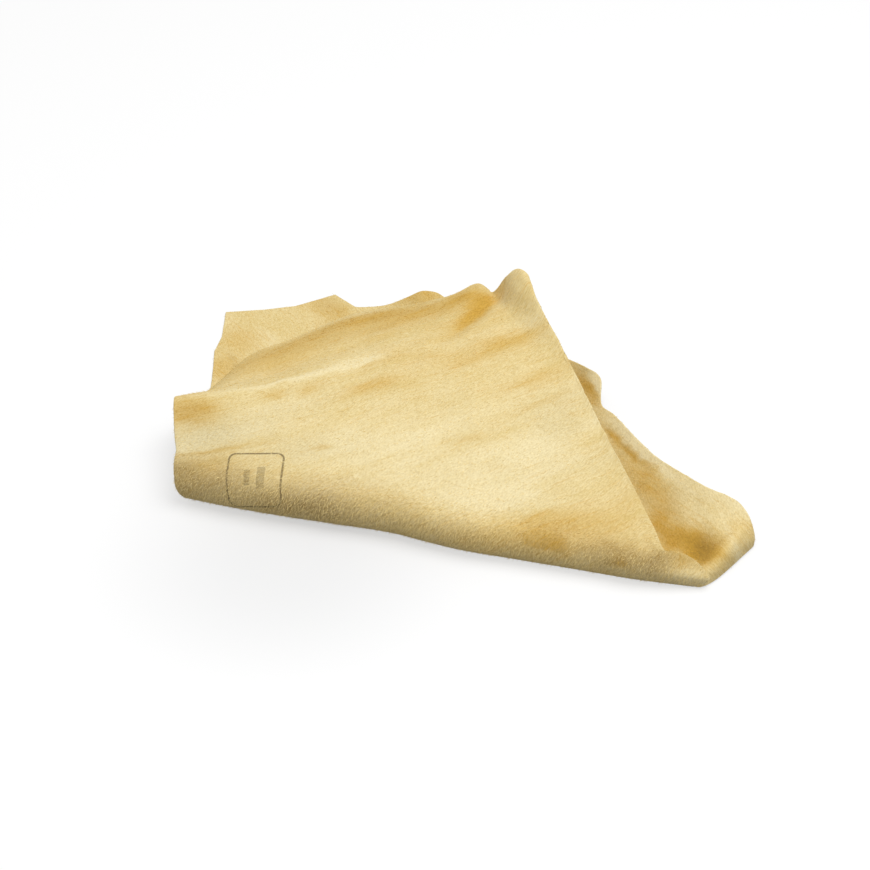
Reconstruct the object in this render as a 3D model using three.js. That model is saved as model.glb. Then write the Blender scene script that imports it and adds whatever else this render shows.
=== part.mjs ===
// A chamois leather: one soft oil-tanned hide, folded once along its front edge.
// The upper flap rises behind the fold to a peak at the rear right, the base lies flat,
// its right edge curls up and its rear left corner shows behind the flap.
// The hide is one piece, so its panels meet along creases, which work as hinges.
// Millimetres, +Z up. X runs along the front fold to the right, Y runs away from the fold.

import * as THREE from 'three';

// Driving dimensions
const LEATHER_THICKNESS = 1.2;
const CREASE_GAP = 0.8; // slit between two panels along a crease
const LAYER_GAP = 0.4; // least air between the resting flap and the base under it
const FOLD_LENGTH = 264; // along the front fold, from cut edge to cut edge
const FOLD_HEIGHT_LEFT = 24; // outside height of the rolled fold at its left end
const FOLD_HEIGHT_RIGHT = 17;
const FOLD_SWAY = 7.2; // how far the nose of the fold stands behind the front line, at most
const UNDER_INSET_LEFT = 7; // how far the underside of the fold ends short of its nose
const UNDER_INSET_RIGHT = 6;
const BASE_DEPTH = 226; // front line to the rearmost corner of the base
const FLAP_DEPTH = 214; // depth by which the flap's stations are measured
const PEAK_HEIGHT = 58; // rise of the flap above where it lies on the base
const RIM_HEIGHT = 16.7; // rise of the curled right edge
const RIM_REACH = 42.6; // widest reach of the curled edge beyond its crease
const FRONT_BULGE = 7; // how far the curl's front edge swells towards the front
const LIP_HEIGHT = 6; // rise of the rounded lip along the curl's front edge
const LIP_ROUNDING = 3.5; // how far behind the front edge the lip is highest
const LIP_FALL = 8; // how far behind its highest line the lip runs out
const WAVE_HEIGHT = 12; // rise of the wave in the rear edge of the base

// How finely the sheets are divided
const FLAP_COLUMNS_PER_SPAN = 2;
const BASE_COLUMNS_PER_SPAN = 4;
const FLAP_ROWS = 24;
const FLAP_ROLL_SPANS = 3;
const ROLL_STEPS = 5;
const WAVE_ROWS = 5;
const CURL_COLUMNS = 36;
const CURL_ROWS = 6;

// The nose of the fold from left to right, at even places: shares of its sway.
const FOLD_LINE = [0.6, 0.5, 0.7, 0.84, 0.52, 0.54, 0.66, 0.9];

// The flap from left to right, one line across the fold per station. fold and lean are
// shares of the fold's length: where the line starts on the nose of the fold, and how far
// it has drifted along the fold at the top of the roll. tuck is how far the line is tucked
// back half way up the roll, as a share of the flap's depth. The points behind the roll are
// shares of the fold's length, the flap's depth and the peak's height.
const FLAP_STATIONS = [
  {
    fold: 0.0,
    lean: -0.01,
    tuck: 0,
    slope: [-0.045, 0.165, 0.425],
    ridge: [-0.075, 0.262, 0.455],
    tail: [-0.088, 0.33, 0.2],
    edge: [-0.08, 0.465, 0.0],
  },
  {
    fold: 0.0875,
    lean: -0.01,
    tuck: 0,
    slope: [0.048, 0.203, 0.432],
    ridge: [0.018, 0.345, 0.44],
    tail: [-0.025, 0.5, 0.24],
    edge: [-0.053, 0.68, 0.0],
  },
  {
    fold: 0.175,
    lean: -0.01,
    tuck: 0,
    slope: [0.14, 0.235, 0.45],
    ridge: [0.108, 0.415, 0.465],
    tail: [0.05, 0.62, 0.28],
    edge: [0.006, 0.785, 0.0],
  },
  {
    fold: 0.295,
    lean: -0.01,
    tuck: 0,
    slope: [0.249, 0.27, 0.468],
    ridge: [0.205, 0.482, 0.523],
    tail: [0.15, 0.725, 0.34],
    edge: [0.108, 0.945, 0.05],
  },
  {
    fold: 0.416,
    lean: -0.01,
    tuck: 0,
    slope: [0.354, 0.295, 0.49],
    ridge: [0.297, 0.535, 0.585],
    tail: [0.246, 0.777, 0.425],
    edge: [0.212, 0.95, 0.2],
  },
  {
    fold: 0.55,
    lean: -0.01,
    tuck: 0,
    slope: [0.478, 0.302, 0.53],
    ridge: [0.413, 0.556, 0.648],
    tail: [0.36, 0.765, 0.59],
    edge: [0.332, 0.888, 0.53],
  },
  {
    fold: 0.66,
    lean: -0.01,
    tuck: 0,
    slope: [0.578, 0.303, 0.553],
    ridge: [0.504, 0.558, 0.69],
    tail: [0.44, 0.757, 0.69],
    edge: [0.38, 0.92, 0.63],
  },
  {
    fold: 0.778,
    lean: -0.014,
    tuck: 0,
    slope: [0.687, 0.295, 0.54],
    ridge: [0.593, 0.527, 0.705],
    tail: [0.499, 0.732, 0.74],
    edge: [0.42, 0.885, 0.64],
  },
  {
    fold: 0.886,
    lean: -0.03,
    tuck: 0,
    slope: [0.774, 0.286, 0.505],
    ridge: [0.673, 0.5, 0.705],
    tail: [0.557, 0.705, 0.872],
    edge: [0.452, 0.862, 0.885],
  },
  {
    fold: 0.945,
    lean: -0.045,
    tuck: 0.008,
    slope: [0.805, 0.263, 0.488],
    ridge: [0.692, 0.477, 0.692],
    tail: [0.568, 0.699, 0.885],
    edge: [0.48, 0.857, 0.985],
  },
  {
    fold: 1.0,
    lean: -0.068,
    tuck: 0.03,
    slope: [0.832, 0.235, 0.465],
    ridge: [0.704, 0.453, 0.667],
    tail: [0.571, 0.692, 0.875],
    edge: [0.506, 0.835, 0.975],
  },
];
const SHOULDER_SHARE = 0.3; // where each line eases from the roll's top towards its slope

// The base from left to right: where each line starts on the fold, and where it ends at the
// rear, as shares of the fold's length and the base's depth. The first three ends lie on the
// corner crease, and the last line is the crease of the curled edge.
const BASE_STATIONS = [
  { fold: 0.0, rear: [-0.107, 0.56] },
  { fold: 0.1, rear: [-0.009, 0.7575] },
  { fold: 0.22, rear: [0.089, 0.955] },
  { fold: 0.4, rear: [0.235, 0.999] },
  { fold: 0.6, rear: [0.35, 0.975] },
  { fold: 0.8, rear: [0.455, 0.885] },
  { fold: 1.0, rear: [0.561, 0.744] },
];
const CORNER_STATIONS = [0, 2]; // stations at the two ends of the corner crease

// The cut outline of the rear corner between the ends of its crease, in the same shares.
const CORNER_OUTLINE = [
  [-0.134, 0.651],
  [-0.141, 0.722],
  [-0.17, 0.836],
  [-0.098, 0.874],
  [-0.036, 0.916],
  [0.029, 1.0],
];

// The rim of the curled edge from front to rear: shares of the crease's length, of the
// widest reach and of the rim's height.
const RIM_POINTS = [
  [0.09, 0.972, 0.023],
  [0.095, 1.0, 0.256],
  [0.111, 1.0, 0.523],
  [0.144, 0.997, 0.744],
  [0.18, 0.942, 0.93],
  [0.212, 0.841, 1.0],
  [0.26, 0.731, 0.93],
  [0.344, 0.628, 0.82],
  [0.479, 0.503, 0.62],
  [0.603, 0.455, 0.5],
  [0.73, 0.421, 0.44],
  [0.793, 0.367, 0.42],
  [0.882, 0.506, 0.745],
  [0.946, 0.455, 0.71],
  [1.028, 0.303, 0.63],
];
const CURL_STEEPENING_POWER = 1.2; // power by which the curl steepens towards its rim
const FRONT_STRETCH_SHARE = 0.2; // share of the curl's length that the front bulge takes
const FRONT_BULGE_POWER = 0.7; // below 1, the bulge is fullest near the crease
const LIP_START_SHARE = 0.3; // shares of the reach where the lip is full and where it sinks
const LIP_END_SHARE = 0.6;

// The wave in the base's rear edge: its place and half-width along the fold, and where it
// starts behind the fold, as shares.
const WAVE_PLACE_SHARE = 0.246;
const WAVE_WIDTH_SHARE = 0.065;
const WAVE_START_SHARE = 0.86;

// The flat face underneath that the hide rests on, as shares of fold length and base depth.
const REST_POINT_SHARES = [0.42, 0.42];

const HALF_THICKNESS = LEATHER_THICKNESS / 2;
const RESTING_HEIGHT = LEATHER_THICKNESS + LAYER_GAP + HALF_THICKNESS;

function smoothStep(value) {
  return THREE.MathUtils.smoothstep(value, 0, 1);
}

// Radius of the fold's middle surface, and the front of that surface, at a place along X.
function foldRadius(x) {
  const share = THREE.MathUtils.clamp(x / FOLD_LENGTH, 0, 1);
  const height = THREE.MathUtils.lerp(FOLD_HEIGHT_LEFT, FOLD_HEIGHT_RIGHT, share);
  return (height - LEATHER_THICKNESS) / 2;
}

const foldLine = new THREE.SplineCurve(
  FOLD_LINE.map((sway, place) => new THREE.Vector2(place, sway * FOLD_SWAY)),
);

function foldFront(x) {
  const share = THREE.MathUtils.clamp(x / FOLD_LENGTH, 0, 1);
  return HALF_THICKNESS + foldLine.getPoint(share).y;
}

// A point on the roll: angle 0 is its nose, a quarter turn up is the flap, down the base.
function rollPoint(foldX, x, angle) {
  const radius = foldRadius(foldX);
  const y = foldFront(foldX) + radius * (1 - Math.cos(angle));
  return new THREE.Vector3(x, y, HALF_THICKNESS + radius + radius * Math.sin(angle));
}

function noseAngle(foldX) {
  return CREASE_GAP / 2 / foldRadius(foldX);
}

// Where the underside of the fold lies along X: it is a little shorter than the nose.
function underside(foldX) {
  const inset = THREE.MathUtils.lerp(UNDER_INSET_LEFT, -UNDER_INSET_RIGHT, foldX / FOLD_LENGTH);
  return new THREE.Vector2(foldX + inset, foldFront(foldX) + foldRadius(foldX));
}

// A closed sheet of leather around a grid of points on its middle surface.
function leatherSheet(grid) {
  const rows = grid.length;
  const columns = grid[0].length;
  const at = (row, column) => {
    const r = THREE.MathUtils.clamp(row, 0, rows - 1);
    const c = THREE.MathUtils.clamp(column, 0, columns - 1);
    return grid[r][c];
  };
  const normalAt = (row, column) => {
    const along = at(row, column + 1).clone().sub(at(row, column - 1));
    const across = at(row + 1, column).clone().sub(at(row - 1, column));
    return along.cross(across).normalize();
  };
  const positions = [];
  for (const side of [1, -1]) {
    for (let row = 0; row < rows; row += 1) {
      for (let column = 0; column < columns; column += 1) {
        const offset = normalAt(row, column).multiplyScalar(side * HALF_THICKNESS);
        positions.push(...offset.add(grid[row][column]).toArray());
      }
    }
  }
  const under = rows * columns;
  const indices = [];
  const addQuad = (a, b, c, d) => indices.push(a, b, c, a, c, d);
  for (let row = 0; row < rows - 1; row += 1) {
    for (let column = 0; column < columns - 1; column += 1) {
      const a = row * columns + column;
      const b = a + 1;
      const c = b + columns;
      const d = a + columns;
      addQuad(a, b, c, d);
      addQuad(under + d, under + c, under + b, under + a);
    }
  }
  const border = [];
  for (let column = 0; column < columns - 1; column += 1) border.push(column);
  for (let row = 0; row < rows - 1; row += 1) border.push(row * columns + columns - 1);
  for (let column = columns - 1; column > 0; column -= 1) border.push((rows - 1) * columns + column);
  for (let row = rows - 1; row > 0; row -= 1) border.push(row * columns);
  border.forEach((from, place) => {
    const to = border[(place + 1) % border.length];
    addQuad(to, from, under + from, under + to);
  });
  const geometry = new THREE.BufferGeometry();
  geometry.setAttribute('position', new THREE.Float32BufferAttribute(positions, 3));
  geometry.setIndex(indices);
  geometry.computeVertexNormals();
  return geometry;
}

function smoothCurve(points) {
  return new THREE.CatmullRomCurve3(points, false, 'centripetal');
}

// The upper flap: from the nose of the fold over the roll and back to its rear edge.
function flapLine(station) {
  const foldX = station.fold * FOLD_LENGTH;
  const first = noseAngle(foldX);
  const roll = [];
  for (let step = 0; step <= FLAP_ROLL_SPANS; step += 1) {
    const share = step / FLAP_ROLL_SPANS;
    const angle = THREE.MathUtils.lerp(first, Math.PI / 2, share);
    const point = rollPoint(foldX, foldX + station.lean * FOLD_LENGTH * share, angle);
    point.y += station.tuck * FLAP_DEPTH * Math.sin(2 * angle);
    roll.push(point);
  }
  const behind = [station.slope, station.ridge, station.tail, station.edge].map(
    ([x, y, z]) => new THREE.Vector3(x * FOLD_LENGTH, y * FLAP_DEPTH, RESTING_HEIGHT + z * PEAK_HEIGHT),
  );
  const shoulder = roll.at(-1).clone().lerp(behind[0], SHOULDER_SHARE);
  return smoothCurve([...roll, shoulder, ...behind]);
}

function flapGeometry() {
  const lines = FLAP_STATIONS.map(flapLine);
  const columns = (lines.length - 1) * FLAP_COLUMNS_PER_SPAN;
  const grid = [];
  for (let row = 0; row <= FLAP_ROWS; row += 1) {
    const across = smoothCurve(lines.map((line) => line.getPoint(row / FLAP_ROWS)));
    const points = across.getPoints(columns);
    points.forEach((point) => point.setZ(Math.max(point.z, RESTING_HEIGHT)));
    grid.push(points);
  }
  return leatherSheet(grid);
}

// Places on the base, in plan.
function basePlace([x, y]) {
  return new THREE.Vector2(x * FOLD_LENGTH, y * BASE_DEPTH);
}

function waveRise(x, y) {
  const along = Math.exp(-(((x / FOLD_LENGTH - WAVE_PLACE_SHARE) / WAVE_WIDTH_SHARE) ** 2));
  return WAVE_HEIGHT * along * smoothStep((y / BASE_DEPTH - WAVE_START_SHARE) / (1 - WAVE_START_SHARE));
}

// The rear edge of the base: straight along the corner crease, then a smooth cut edge.
function baseRear(span, share) {
  const [, lastCrease] = CORNER_STATIONS;
  const ends = BASE_STATIONS.map((station) => basePlace(station.rear));
  if (span < lastCrease) return ends[span].lerp(ends[span + 1], share);
  const cut = new THREE.SplineCurve(ends.slice(lastCrease));
  return cut.getPoint((span - lastCrease + share) / (ends.length - 1 - lastCrease));
}

// The base: from the nose of the fold under the roll, flat to the rear, with its wave.
function baseGeometry() {
  const shares = [];
  for (let span = 0; span < BASE_STATIONS.length - 1; span += 1) {
    for (let step = 0; step < BASE_COLUMNS_PER_SPAN; step += 1) {
      shares.push([span, step / BASE_COLUMNS_PER_SPAN]);
    }
  }
  shares.push([BASE_STATIONS.length - 2, 1]);
  const lines = shares.map(([span, share]) => {
    const from = BASE_STATIONS[span];
    const to = BASE_STATIONS[span + 1];
    const foldX = THREE.MathUtils.lerp(from.fold, to.fold, share) * FOLD_LENGTH;
    return { foldX, rear: baseRear(span, share) };
  });
  const grid = [];
  for (let step = 0; step <= ROLL_STEPS; step += 1) {
    grid.push(
      lines.map(({ foldX }) => {
        const share = step / ROLL_STEPS;
        const angle = THREE.MathUtils.lerp(noseAngle(foldX), Math.PI / 2, share);
        return rollPoint(foldX, THREE.MathUtils.lerp(foldX, underside(foldX).x, share), -angle);
      }),
    );
  }
  for (let step = 0; step <= WAVE_ROWS; step += 1) {
    const share = THREE.MathUtils.lerp(WAVE_START_SHARE, 1, step / WAVE_ROWS);
    grid.push(
      lines.map(({ foldX, rear }) => {
        const place = underside(foldX).lerp(rear, share);
        return new THREE.Vector3(place.x, place.y, HALF_THICKNESS + waveRise(place.x, place.y));
      }),
    );
  }
  return leatherSheet(grid);
}

// A crease in plan: its ends, its direction and the outward side of the panel beyond it.
function crease(start, end) {
  const along = end.clone().sub(start);
  const length = along.length();
  along.divideScalar(length);
  return { start, end, along, length, outward: new THREE.Vector2(along.y, -along.x) };
}

function curlCrease() {
  return crease(underside(FOLD_LENGTH), basePlace(BASE_STATIONS.at(-1).rear));
}

// The rounded lip along the curl's front edge: its rise at a distance behind that edge.
function frontLip(behind, share) {
  const before = THREE.MathUtils.clamp(1 - behind / LIP_ROUNDING, 0, 1);
  const fall = 1 - smoothStep((behind - LIP_ROUNDING) / LIP_FALL);
  const start = smoothStep(share / LIP_START_SHARE);
  const end = 1 - smoothStep((share - LIP_END_SHARE) / (1 - LIP_END_SHARE));
  return LIP_HEIGHT * Math.sqrt(1 - before ** 2) * fall * start * end;
}

// The curled right edge: from its crease out and up to the rim.
function curlGeometry() {
  const { start, along, outward, length } = curlCrease();
  const rim = smoothCurve(
    RIM_POINTS.map(
      ([place, reach, rise]) => new THREE.Vector3(place * length, reach * RIM_REACH, rise * RIM_HEIGHT),
    ),
  );
  const grid = [];
  for (let row = 0; row <= CURL_ROWS; row += 1) {
    const share = row / CURL_ROWS;
    const bulge = FRONT_BULGE * Math.sin(Math.PI * share ** FRONT_BULGE_POWER);
    const front = THREE.MathUtils.lerp(0, rim.points[0].x, share) - bulge;
    const line = [];
    for (let column = 0; column <= CURL_COLUMNS; column += 1) {
      const edge = rim.getPoint(column / CURL_COLUMNS);
      const place = (edge.x - rim.points[0].x) / (rim.points.at(-1).x - rim.points[0].x);
      const swell = bulge * smoothStep(1 - place / FRONT_STRETCH_SHARE);
      const forward = THREE.MathUtils.lerp(place * length, edge.x, share) - swell;
      const out = THREE.MathUtils.lerp(CREASE_GAP, edge.y, share);
      const spot = start.clone().addScaledVector(along, forward).addScaledVector(outward, out);
      const rise = edge.z * share ** CURL_STEEPENING_POWER + frontLip(forward - front, share);
      line.push(new THREE.Vector3(spot.x, spot.y, HALF_THICKNESS + rise));
    }
    grid.push(line);
  }
  return leatherSheet(grid.reverse());
}

// The rear left corner of the base, a flat piece beyond its crease.
function cornerGeometry() {
  const [left, right] = CORNER_STATIONS.map((station) => basePlace(BASE_STATIONS[station].rear));
  const { outward } = crease(right, left);
  const outline = [left, ...CORNER_OUTLINE.map(basePlace), right];
  outline[0].addScaledVector(outward, CREASE_GAP);
  outline[outline.length - 1].addScaledVector(outward, CREASE_GAP);
  const shape = new THREE.Shape(outline.reverse());
  return new THREE.ExtrudeGeometry(shape, { depth: LEATHER_THICKNESS, bevelEnabled: false });
}

// Suede colours of the panels
function suede(color) {
  return new THREE.MeshStandardMaterial({ color, roughness: 0.95, metalness: 0 });
}

function panel(name, geometry, color) {
  const mesh = new THREE.Mesh(geometry, suede(color));
  mesh.name = name;
  return mesh;
}

const hide = new THREE.Group();
const restPlace = basePlace(REST_POINT_SHARES);
hide.position.set(-restPlace.x, -restPlace.y, 0);
hide.add(panel('base_panel', baseGeometry(), 0xd9bf7e));
hide.add(panel('upper_flap', flapGeometry(), 0xe2cb8c));
hide.add(panel('right_curl', curlGeometry(), 0xd3b067));
hide.add(panel('rear_corner', cornerGeometry(), 0xdcc48a));

export default hide;
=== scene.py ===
import math

import bmesh
import bpy
import numpy as np
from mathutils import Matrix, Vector


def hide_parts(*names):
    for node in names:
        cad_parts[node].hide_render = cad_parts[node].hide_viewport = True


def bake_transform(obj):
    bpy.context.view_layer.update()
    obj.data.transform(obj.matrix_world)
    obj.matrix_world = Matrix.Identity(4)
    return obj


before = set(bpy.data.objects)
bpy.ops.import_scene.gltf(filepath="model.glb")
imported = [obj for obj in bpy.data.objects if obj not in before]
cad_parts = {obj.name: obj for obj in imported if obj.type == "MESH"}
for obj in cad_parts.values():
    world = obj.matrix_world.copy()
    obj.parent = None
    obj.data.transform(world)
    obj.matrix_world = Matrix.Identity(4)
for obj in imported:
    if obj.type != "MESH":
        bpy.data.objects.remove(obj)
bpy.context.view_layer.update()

# Sizes of the folded hide
LEATHER_THICKNESS = 0.0012
LAYER_GAP = 0.0004
FOLD_LENGTH = 0.264
FOLD_HEIGHT_LEFT = 0.024
FOLD_HEIGHT_RIGHT = 0.017
FOLD_SWAY = 0.0072
UNDER_INSET_LEFT = 0.006
UNDER_INSET_RIGHT = 0.006
BASE_DEPTH = 0.226
FLAP_DEPTH = 0.214
PEAK_HEIGHT = 0.058
RIM_HEIGHT = 0.0167
RIM_REACH = 0.0426
FRONT_BULGE = 0.0075
WAVE_HEIGHT = 0.012

HALF_THICKNESS = LEATHER_THICKNESS / 2
RESTING_HEIGHT = LEATHER_THICKNESS + LAYER_GAP + HALF_THICKNESS
ORIGIN_SHARE = 0.42  # of the fold's length and of the base's depth
ORIGIN = np.array([ORIGIN_SHARE * FOLD_LENGTH, ORIGIN_SHARE * BASE_DEPTH, 0.0])

# Camera of the photograph
CAMERA_TARGET = Vector((-0.00588, 0.00808, 0.0))
CAMERA_AZIMUTH = math.radians(17)
CAMERA_ELEVATION = math.radians(33)
CAMERA_DISTANCE = 1.2415
CAMERA_LENS = 98.66
SENSOR_WIDTH = 36.0

# The nose of the fold from left to right, at even places: shares of its sway.
FOLD_LINE = [0.44, 0.34, 0.58, 0.77, 0.26, 0.47, 0.52, 0.84]
# The flap from left to right, one line across the fold per station: where it starts on the
# nose of the fold, its drift along the fold at the top of the roll, how far it is tucked back
# half way up the roll, and its slope, ridge, tail and edge behind the roll, as shares of the
# fold's length, the flap's depth and the peak's height.
FLAP_STATIONS = [
    (0.0, -0.01, 0.003,
     (-0.045, 0.165, 0.425), (-0.075, 0.262, 0.455), (-0.08, 0.335, 0.17), (-0.0645, 0.475, 0)),
    (0.0875, -0.01, 0,
     (0.048, 0.203, 0.432), (0.018, 0.345, 0.44), (-0.025, 0.5, 0.24), (-0.053, 0.68, 0)),
    (0.175, -0.01, 0,
     (0.14, 0.235, 0.45), (0.108, 0.415, 0.465), (0.05, 0.62, 0.28), (0.006, 0.785, 0)),
    (0.295, -0.01, 0,
     (0.249, 0.27, 0.468), (0.205, 0.482, 0.523), (0.15, 0.725, 0.34), (0.108, 0.945, 0.05)),
    (0.416, -0.01, 0,
     (0.354, 0.295, 0.49), (0.297, 0.535, 0.585), (0.246, 0.777, 0.425), (0.212, 0.95, 0.2)),
    (0.55, -0.01, 0,
     (0.478, 0.302, 0.53), (0.413, 0.556, 0.648), (0.36, 0.765, 0.59), (0.332, 0.888, 0.53)),
    (0.66, -0.01, 0,
     (0.578, 0.303, 0.553), (0.504, 0.558, 0.69), (0.44, 0.757, 0.69), (0.38, 0.92, 0.63)),
    (0.778, -0.014, 0,
     (0.687, 0.295, 0.54), (0.593, 0.527, 0.705), (0.499, 0.732, 0.74), (0.42, 0.885, 0.64)),
    (0.886, -0.03, 0,
     (0.774, 0.286, 0.505), (0.673, 0.5, 0.705), (0.557, 0.705, 0.872), (0.452, 0.862, 0.885)),
    (0.945, -0.045, 0.008,
     (0.805, 0.263, 0.488), (0.692, 0.477, 0.692), (0.568, 0.699, 0.885), (0.48, 0.857, 0.985)),
    (1.0, -0.068, 0.03,
     (0.832, 0.235, 0.465), (0.704, 0.453, 0.667), (0.571, 0.692, 0.875), (0.506, 0.835, 0.975)),
]
# The base from left to right: start on the fold, and end at the rear, in the same shares.
BASE_STATIONS = [
    (0.0, (-0.107, 0.56)),
    (0.1, (-0.009, 0.7575)),
    (0.22, (0.089, 0.955)),
    (0.4, (0.235, 0.999)),
    (0.6, (0.35, 0.975)),
    (0.8, (0.455, 0.885)),
    (1.0, (0.561, 0.744)),
]
LAST_CREASE_STATION = 2
# The cut outline of the rear corner, in the same shares.
CORNER_OUTLINE = [
    (-0.134, 0.651),
    (-0.141, 0.722),
    (-0.17, 0.836),
    (-0.098, 0.874),
    (-0.036, 0.916),
    (0.029, 1.0),
]
# The rim of the curled edge from front to rear: shares of the crease's length, of the
# widest reach and of the rim's height.
RIM_POINTS = [
    (0.09, 0.972, 0.023),
    (0.095, 1, 0.256),
    (0.111, 1, 0.523),
    (0.144, 0.997, 0.744),
    (0.18, 0.942, 0.93),
    (0.212, 0.841, 1),
    (0.26, 0.731, 0.93),
    (0.344, 0.628, 0.82),
    (0.479, 0.503, 0.62),
    (0.603, 0.455, 0.5),
    (0.73, 0.421, 0.44),
    (0.793, 0.367, 0.42),
    (0.882, 0.506, 0.745),
    (0.946, 0.455, 0.71),
    (1.028, 0.303, 0.63),
]
# The curl rises ever more steeply, and its front end bulges forward.
CURL_STEEPENING = 1.2
FRONT_STRETCH = 0.2  # share of the curl's length that the bulge fades out over
FRONT_BULGE_LEAN = 0.45  # below 1, the bulge is largest near the crease
# The low lip along the front end of the curl
LIP_HEIGHT = 0.0048
LIP_ROUNDING = 0.0035
LIP_FALL = 0.014
LIP_START = 0.15  # shares of the curl's width where the lip is whole, and where it starts to end
LIP_END = 0.6
# The shoulder is a share of the way from the top of the roll to the slope. The tucked ends of
# the roll are drawn out along the tip's turn.
SHOULDER_PLACE = 0.3
TIP_TURN = (0.7, 0.9, -0.35)
# The wave in the rear edge of the base, in shares of the fold's length and the base's depth
WAVE_PLACE = 0.246
WAVE_WIDTH = 0.065
WAVE_START = 0.86

# How finely the sheets are divided
FLAP_STEP = 0.0014
BASE_STEP = 0.002
CURL_STEP = BASE_STEP / 2
FEWEST_STEPS = 2  # on each span
ROLL_SPANS = 6
EDGE_STEPS = (0.04, 0.2, 0.5, 1.0)  # distances from a cut edge, in half thicknesses
SHARP_ANGLE = math.radians(60)
# Limits against rounding errors
TINY = 1e-9
SHORTEST_VECTOR = 1e-12
SHORTEST_REACH = 1e-6
MERGE_DISTANCE = 1e-7

# Patches of the hide, in millimetres of the flat leather: along the fold, up from the nose of
# the fold (down into the base is negative), half length, half width, turn in degrees, strength.
MM = 0.001
# Most patches are the hide's own colour; those noted below are painted light and shade.
CREAM_PATCHES = [
    # Flap
    (0, 21, 12, 5, 28, 0.5),
    (6, 17, 10, 4, 30, 0.35),
    (10, 33, 26, 6, 33, 0.6),
    (22, 62, 18, 9, 30, 0.25),
    # Painted highlight: a pale line along the ridge's crest
    (36, 90.5, 44, 3.2, 33, 0.85),
    (49, 56, 30, 12, 35, 0.35),
    # Painted highlight: the pale band where the crest's light line widens
    (58, 108, 19, 6, 36, 0.6),
    (80, 42, 24, 12, 20, 0.45),
    (96, 46, 34, 12, 22, 0.28),
    (119, 33, 28, 11, 22, 0.45),
    (124, 70, 38, 13, 40, 0.45),
    (146, 153, 12, 6, 40, 0.4),
    (152, 25, 30, 8, 12, 0.75),
    (160, 50, 30, 14, 24, 0.55),
    (171, 67, 18, 11, 40, 0.5),
    (177, 29, 18, 7, 14, 0.35),
    (196, 83, 8, 5, 40, 0.35),
    # Roll of the front fold
    (262, -3, 12, 5, 0, 0.5),
    # Curl and its pocket
    # These three: partly the curl's pale hide, partly painted light on its trough and wall, which the
    # flap's overhang shades
    (213, -109.5, 32, 2.4, 48, 1.0),
    (238, -86, 40, 5, 44, 0.5),
    (266, -68, 22, 4, 40, 0.45),
    # Painted light on the lip's outer face, as if thrown up from the floor
    (277, -31, 20, 2.2, 68, 0.5),
    # Lobe of the curl
    # Painted highlight on the lobe's lit rim
    (180, -158, 12, 3, 67, 1.3),
    # Rear corner and the base behind the flap
    (-12, -170, 18, 8, 45, 0.22),
]
OCHRE_PATCHES = [
    # Flap
    (-8, 50, 16, 11, 12, 0.52),
    (-6, 41, 12, 5, 12, 0.3),
    (0, 54, 6, 3.5, 20, 0.25),
    (9, 140, 44, 26, 60, 0.46),
    (10, 14, 20, 7, 22, 0.3),
    (16, 24, 21, 1.4, 31, 0.6),
    (22, 126, 46, 14, 42, 0.1),
    (29, 75, 6, 3.5, 40, 0.35),
    (45, 81.5, 6, 4.5, 40, 0.35),
    (48, 182, 30, 19, 30, 0.62),
    (49, 57, 9, 2.5, 30, 0.25),
    (63, 155, 16, 8, 30, 0.3),
    (64, 139, 12, 6, 36, 0.2),
    (68, 39, 6, 1.8, 20, 0.5),
    (72, 85, 14, 4.5, 38, 0.36),
    (76, 116, 16, 8, 36, 0.35),
    (80, 176, 22, 12, 25, 0.5),
    (86, 93, 16, 7, 38, 0.2),
    (96, 155, 10, 6, 36, 0.2),
    (97, 186, 12, 8, 60, 0.55),
    (100, 119, 14, 7, 38, 0.22),
    (104, 143, 24, 9, 36, 0.15),
    (107, 183, 7, 6, 70, 0.45),
    (109, 170, 17, 6, 74, 1.0),
    (118, 119, 14, 5, 40, 0.3),
    (123, 168, 8, 6, 40, 0.2),
    (136, 139, 20, 8, 34, 0.58),
    (137, 62, 12, 3, 22, 0.3),
    (156, 108, 24, 7, 40, 0.28),
    (159, 47, 12, 3.5, 16, 0.35),
    (164, 92, 24, 2.2, 42, 0.25),
    (188, 17, 18, 9, 20, 0.27),
    (208, 21, 26, 12, 12, 0.32),
    (226, 44, 16, 10, 30, 0.15),
    # Roll of the front fold
    (150, 2, 30, 5, 2, 0.18),
    (180, 3, 36, 8, 4, 0.2),
    (186, 9, 10, 5, 0, 0.2),
    (195, 5, 8, 4, 10, 0.32),
    (226, 3, 6, 3, 0, 0.4),
    (230, 8, 22, 6, -2, 0.2),
    (251, 11, 6, 4, -40, 0.25),
    (256, 7, 8, 4, 0, 0.3),
    # Curl and its pocket
    # These two run along the crease at the foot of the curl's wall: partly a darker line in the hide,
    # partly painted shade in the crease
    (195.5, -119.5, 9, 2.5, 48, 0.5),
    (209.2, -106, 17, 1.8, 48, 0.6),
    (215, -90, 30, 8, 50, 0.38),
    (227, -78, 14, 5, 48, 0.2),
    (234, -52, 9, 5, 55, 0.4),
    (235, -60, 12, 8, 50, 0.35),
    # This and the next six darken the pocket between the roll's end and the curl's lip: partly stain,
    # partly painted shade of its hollow
    (243, -37, 7, 5, 40, 0.6),
    (251, -41, 14, 7, 40, 1.0),
    (255, -29, 5, 4, 0, 0.5),
    (259, -41, 6, 4, 40, 0.35),
    (262, -31.5, 9.5, 8, 85, 0.95),
    (265, -24, 6, 5, 60, 0.5),
    (267.5, -30.5, 4, 3, 60, 0.3),
    (275, -37, 6, 5, 60, 0.2),
    (277, -48, 9, 8, 40, 0.25),
    # Lobe of the curl
    # Painted shade on the lobe's inner side, in the flap's shade
    (174, -157.5, 16, 3.6, 56, 1.0),
    # Rear corner and the base behind the flap
    (-26, -163, 14, 12, 50, 0.35),
    (-24, -133, 12, 10, 50, 0.45),
    (5, -212, 22, 10, 40, 0.48),
    (19, -209, 8, 6, 40, 0.25),
    (62, -222, 22, 12, 10, 0.55),
]
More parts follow.
